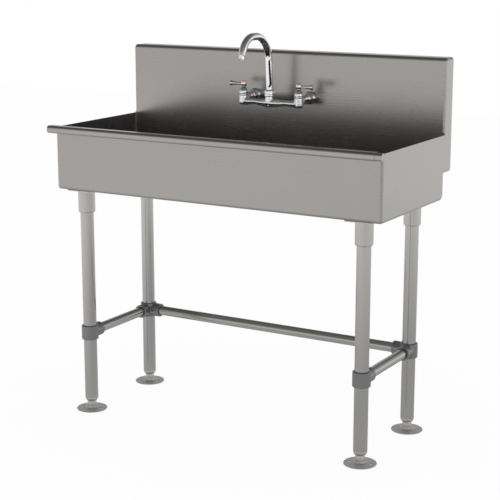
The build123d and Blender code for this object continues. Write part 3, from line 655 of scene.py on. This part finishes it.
def make_set_screws(node, radius):
    """Set screws with a thin open hexagon on each outer face: a mark, too shallow for a key."""
    mesh = frame["nodes"][node].data
    whole = bmesh.new()
    whole.from_mesh(mesh)
    bmesh.ops.remove_doubles(whole, verts=whole.verts, dist=1e-6)
    bmesh.ops.scale(whole, vec=(1000, 1000, 1000), verts=whole.verts)
    islands, left = [], set(whole.verts)
    while left:
        stack, found = [left.pop()], []
        while stack:
            vert = stack.pop()
            found.append(vert.co.copy())
            for edge in vert.link_edges:
                other = edge.other_vert(vert)
                if other in left:
                    left.discard(other)
                    stack.append(other)
        islands.append(found)
    whole.free()
    shape = bmesh.new()
    legs = [node_box(f"leg_tube_{row}_{side}")[2] for row, side in CORNERS]

    def place_of(found):
        return tuple(round(v, 2) for v in sum(found, Vector()) / len(found))

    for points in sorted(islands, key=place_of):
        low = Vector([min(p[i] for p in points) for i in range(3)])
        high = Vector([max(p[i] for p in points) for i in range(3)])
        middle = (low + high) / 2
        size = high - low
        short = min(range(3), key=lambda i: size[i])
        leg = min(legs, key=lambda at: (at.xy - middle.xy).length)
        out = Vector((0, 0, 0))
        out[short] = -1.0 if short == 2 or middle[short] < leg[short] else 1.0
        length = size[short]
        base = middle - out * length / 2
        outline = [(0, 0), (radius - 0.1, 0), (radius - 0.1, length - 0.5), (radius - 0.6, length),
                   (0, length)]
        spin_outline(shape, outline, base, out, 24)
        facing = out.to_track_quat("Z", "Y").to_matrix().to_4x4()
        place = Matrix.Translation(base + out * (length + 0.02)) @ facing
        made = bmesh.ops.create_circle(shape, cap_ends=True, segments=6, radius=1.75, matrix=place)
        cap = [face for vert in made["verts"] for face in vert.link_faces][:1]
        sunk = bmesh.ops.extrude_discrete_faces(shape, faces=cap)["faces"]
        bmesh.ops.translate(shape, vec=-out * 0.03, verts=list({v for face in sunk for v in face.verts}))
    piece(node + "_sockets", shape, "sink_frame", [node], "dark_screw")


# ---------------------------------------------------------------- operators
class SINK_OT_faucet(bpy.types.Operator):
    """Casting, unions, wall plates, bonnets, ring nut and outlet of the mixer"""
    bl_idname = "sink.faucet"
    bl_label = "Faucet"

    def execute(self, context):
        make_casting()
        make_wall_plates()
        make_spout_nut()
        make_outlet()
        for name, _ in SIDES:
            make_union(name)
            make_bonnet(name)
        return {"FINISHED"}


class SINK_OT_handles(bpy.types.Operator):
    """Lever handles and their index buttons"""
    bl_idname = "sink.handles"
    bl_label = "Handles"

    def execute(self, context):
        for name, sign in SIDES:
            make_handle(name, sign)
            make_button(name)
        return {"FINISHED"}


class SINK_OT_feet(bpy.types.Operator):
    """Flanged screw feet and the bullet inserts that they turn in"""
    bl_idname = "sink.feet"
    bl_label = "Feet"

    def execute(self, context):
        for row, side in CORNERS:
            make_foot(row, side)
            make_insert(row, side)
        return {"FINISHED"}


class SINK_OT_fittings(bpy.types.Operator):
    """Cast clamp fittings and set screws"""
    bl_idname = "sink.fittings"
    bl_label = "Clamp fittings"

    def execute(self, context):
        for row, side in CORNERS:
            node = f"rail_fitting_{row}_{side}"
            cast_from(node + "_casting", node, "sink_frame", "cast_fitting", 1.1, 3)
        make_set_screws("fitting_set_screws", 3.0)
        return {"FINISHED"}


class SINK_OT_finish_frame(bpy.types.Operator):
    """Give every piece of the frame its finish"""
    bl_idname = "sink.finish_frame"
    bl_label = "Finish the frame"

    def execute(self, context):
        finishes = make_finishes()
        for row in frame["record"]["subparts"]:
            mesh = frame["nodes"][row["node"]].data
            mesh.materials.clear()
            mesh.materials.append(finishes[row["material_slot"]])
        return {"FINISHED"}


class SINK_OT_studio(bpy.types.Operator):
    """Floor, soft lights and camera"""
    bl_idname = "sink.studio"
    bl_label = "Studio"

    def execute(self, context):
        settings = context.scene.sink_studio
        make_floor(settings)
        make_card()
        make_world(context.scene)
        make_lights(settings)
        make_camera(settings)
        context.scene.view_settings.view_transform = "Standard"
        return {"FINISHED"}


def make_floor(settings):
    """Pale floor: nearly white to the camera with a faint shadow; metal sees it brighter further out."""
    mesh = bpy.data.meshes.new("floor")
    shape = bmesh.new()
    bmesh.ops.create_grid(shape, x_segments=1, y_segments=1, size=settings.floor_size / 2)
    shape.to_mesh(mesh)
    shape.free()
    floor = bpy.data.objects.new("floor", mesh)
    bpy.context.scene.collection.objects.link(floor)
    material, tree, shader, place = blank_material("pale_floor", 0.0, 0.9, (0.86, 0.86, 0.86))
    shader.inputs["Specular IOR Level"].default_value = 0.0
    out = tree.nodes["Material Output"]
    rays = tree.nodes.new("ShaderNodeLightPath")
    white = tree.nodes.new("ShaderNodeEmission")
    white.inputs["Color"].default_value = (1, 1, 1, 1)
    seen = tree.nodes.new("ShaderNodeMixShader")
    seen.inputs["Fac"].default_value = 0.92
    tree.links.new(shader.outputs["BSDF"], seen.inputs[1])
    tree.links.new(white.outputs["Emission"], seen.inputs[2])
    shift = tree.nodes.new("ShaderNodeVectorMath")
    shift.operation = "SUBTRACT"
    shift.inputs[1].default_value = (0.6, 0.0, 0.0)
    tree.links.new(place, shift.inputs[0])
    away = tree.nodes.new("ShaderNodeVectorMath")
    away.operation = "LENGTH"
    tree.links.new(shift.outputs["Vector"], away.inputs[0])
    glow = remap(tree, away.outputs["Value"], 0.7, 3.4, settings.floor_near, settings.floor_far)
    mirrored = tree.nodes.new("ShaderNodeEmission")
    tree.links.new(glow, mirrored.inputs["Strength"])
    by_metal = tree.nodes.new("ShaderNodeMixShader")
    tree.links.new(rays.outputs["Is Glossy Ray"], by_metal.inputs["Fac"])
    tree.links.new(shader.outputs["BSDF"], by_metal.inputs[1])
    tree.links.new(mirrored.outputs["Emission"], by_metal.inputs[2])
    last = tree.nodes.new("ShaderNodeMixShader")
    tree.links.new(rays.outputs["Is Camera Ray"], last.inputs["Fac"])
    tree.links.new(by_metal.outputs["Shader"], last.inputs[1])
    tree.links.new(seen.outputs["Shader"], last.inputs[2])
    tree.links.new(last.outputs["Shader"], out.inputs["Surface"])
    mesh.materials.append(material)


def make_card():
    """Low dark curved card round the front right, seen only by metal: the streak down the leaning riser."""
    shape = bmesh.new()
    start = Matrix.Rotation(math.radians(CARD_START), 4, "Z")
    ends = [shape.verts.new(start @ Vector((0, -CARD_DISTANCE, height))) for height in (0.0, CARD_TOP)]
    edge = shape.edges.new(ends)
    bmesh.ops.spin(shape, geom=ends + [edge], cent=(0, 0, 0), axis=(0, 0, 1), dvec=(0, 0, 0),
                   angle=math.radians(CARD_SWEEP), steps=21, use_merge=False, use_duplicate=False)
    for vert in shape.verts:
        if vert.co.z < 0.1:
            turn = math.degrees(math.atan2(vert.co.x, -vert.co.y))
            vert.co.z = CARD_LOW + CARD_RISE * abs(turn - CARD_MIDDLE) / CARD_RISE_ANGLE
    mesh = bpy.data.meshes.new("dark_card")
    shape.to_mesh(mesh)
    shape.free()
    card = bpy.data.objects.new("dark_card", mesh)
    bpy.context.scene.collection.objects.link(card)
    material, _, shader, _ = blank_material("card_black", 0.0, 1.0, (0.01, 0.01, 0.01))
    shader.inputs["Specular IOR Level"].default_value = 0.0
    mesh.materials.append(material)
    card.visible_camera = False
    card.visible_diffuse = False
    card.visible_shadow = False


def make_world(scene):
    """White to the camera, even for dull surfaces; metal mirrors a bright horizon under a dark ceiling."""
    world = bpy.data.worlds.new("studio")
    scene.world = world
    world.use_nodes = True
    tree = world.node_tree
    tree.nodes.clear()
    settings = scene.sink_studio
    out = tree.nodes.new("ShaderNodeOutputWorld")
    rays = tree.nodes.new("ShaderNodeLightPath")
    split = tree.nodes.new("ShaderNodeSeparateXYZ")
    tree.links.new(tree.nodes.new("ShaderNodeTexCoord").outputs["Generated"], split.inputs["Vector"])
    ramp = tree.nodes.new("ShaderNodeValToRGB")
    ramp.color_ramp.interpolation = "LINEAR"
    stops = [(0.0, 0.95), (0.50, 0.95), (0.587, 0.74), (0.671, 0.46), (0.787, 0.18), (1.0, 0.10)]
    elements = ramp.color_ramp.elements
    while len(elements) < len(stops):
        elements.new(0.5)
    for element, (place, value) in zip(elements, stops):
        element.position = place
        element.color = (value, value, value, 1)
    tree.links.new(remap(tree, split.outputs["Z"], -1.0, 1.0, 0.0, 1.0), ramp.inputs["Fac"])
    sideways = remap(tree, split.outputs["X"], -1.0, 1.0, settings.horizon_left, settings.horizon_right)
    mirror = tree.nodes.new("ShaderNodeBackground")
    tree.links.new(ramp.outputs["Color"], mirror.inputs["Color"])
    tree.links.new(sideways, mirror.inputs["Strength"])
    even = tree.nodes.new("ShaderNodeBackground")
    even.inputs["Color"].default_value = (1, 1, 1, 1)
    by_metal = tree.nodes.new("ShaderNodeMixShader")
    tree.links.new(rays.outputs["Is Glossy Ray"], by_metal.inputs["Fac"])
    tree.links.new(even.outputs["Background"], by_metal.inputs[1])
    tree.links.new(mirror.outputs["Background"], by_metal.inputs[2])
    tree.links.new(by_metal.outputs["Shader"], out.inputs["Surface"])


def make_lights(settings):
    """One soft panel overhead for the floor and the dull pieces; metal doesn't mirror it."""
    data = bpy.data.lights.new("overhead_panel", "AREA")
    data.shape = "SQUARE"
    data.size = 4.0
    data.energy = settings.key_power
    panel = bpy.data.objects.new("overhead_panel", data)
    panel.location = (0.3, -0.6, 3.6)
    panel.visible_glossy = False
    bpy.context.scene.collection.objects.link(panel)


def make_camera(settings):
    low, high = (Vector(corner) for corner in cad_box)
    aim = (low + high) / 2 + Vector(settings.aim)
    tilt = Matrix.Rotation(math.pi / 2 - settings.elevation, 4, "X")
    turn = Matrix.Rotation(settings.azimuth, 4, "Z") @ tilt
    data = bpy.data.cameras.new("camera")
    data.lens = settings.lens
    data.sensor_width = 36.0
    data.clip_start = 0.05
    camera = bpy.data.objects.new("camera", data)
    camera.matrix_world = Matrix.Translation(aim) @ turn @ Matrix.Translation((0, 0, settings.distance))
    bpy.context.scene.collection.objects.link(camera)
    bpy.context.scene.camera = camera


class SINK_PT_panel(bpy.types.Panel):
    """Sidebar list of the sink's steps"""
    bl_label = "Hand-wash sink"
    bl_idname = "SINK_PT_panel"
    bl_space_type = "VIEW_3D"
    bl_region_type = "UI"
    bl_category = "Sink"

    def draw(self, context):
        for settings in (context.scene.sink_studio, context.scene.sink_finish):
            for name in settings.__annotations__:
                self.layout.prop(settings, name)
        for operator in STEPS:
            self.layout.operator(operator.bl_idname)


STEPS = (SINK_OT_finish_frame, SINK_OT_faucet, SINK_OT_handles, SINK_OT_feet, SINK_OT_fittings,
         SINK_OT_studio)
CLASSES = (StudioSettings, FinishSettings, *STEPS, SINK_PT_panel)


def register():
    for cls in CLASSES:
        bpy.utils.register_class(cls)
    bpy.types.Scene.sink_studio = bpy.props.PointerProperty(type=StudioSettings)
    bpy.types.Scene.sink_finish = bpy.props.PointerProperty(type=FinishSettings)


def unregister():
    del bpy.types.Scene.sink_finish
    del bpy.types.Scene.sink_studio
    for cls in reversed(CLASSES):
        bpy.utils.unregister_class(cls)


def main():
    register()
    bpy.ops.sink.finish_frame()
    bpy.ops.sink.faucet()
    bpy.ops.sink.handles()
    bpy.ops.sink.feet()
    bpy.ops.sink.fittings()
    bpy.ops.sink.studio()


if __name__ == "__main__":
    main()
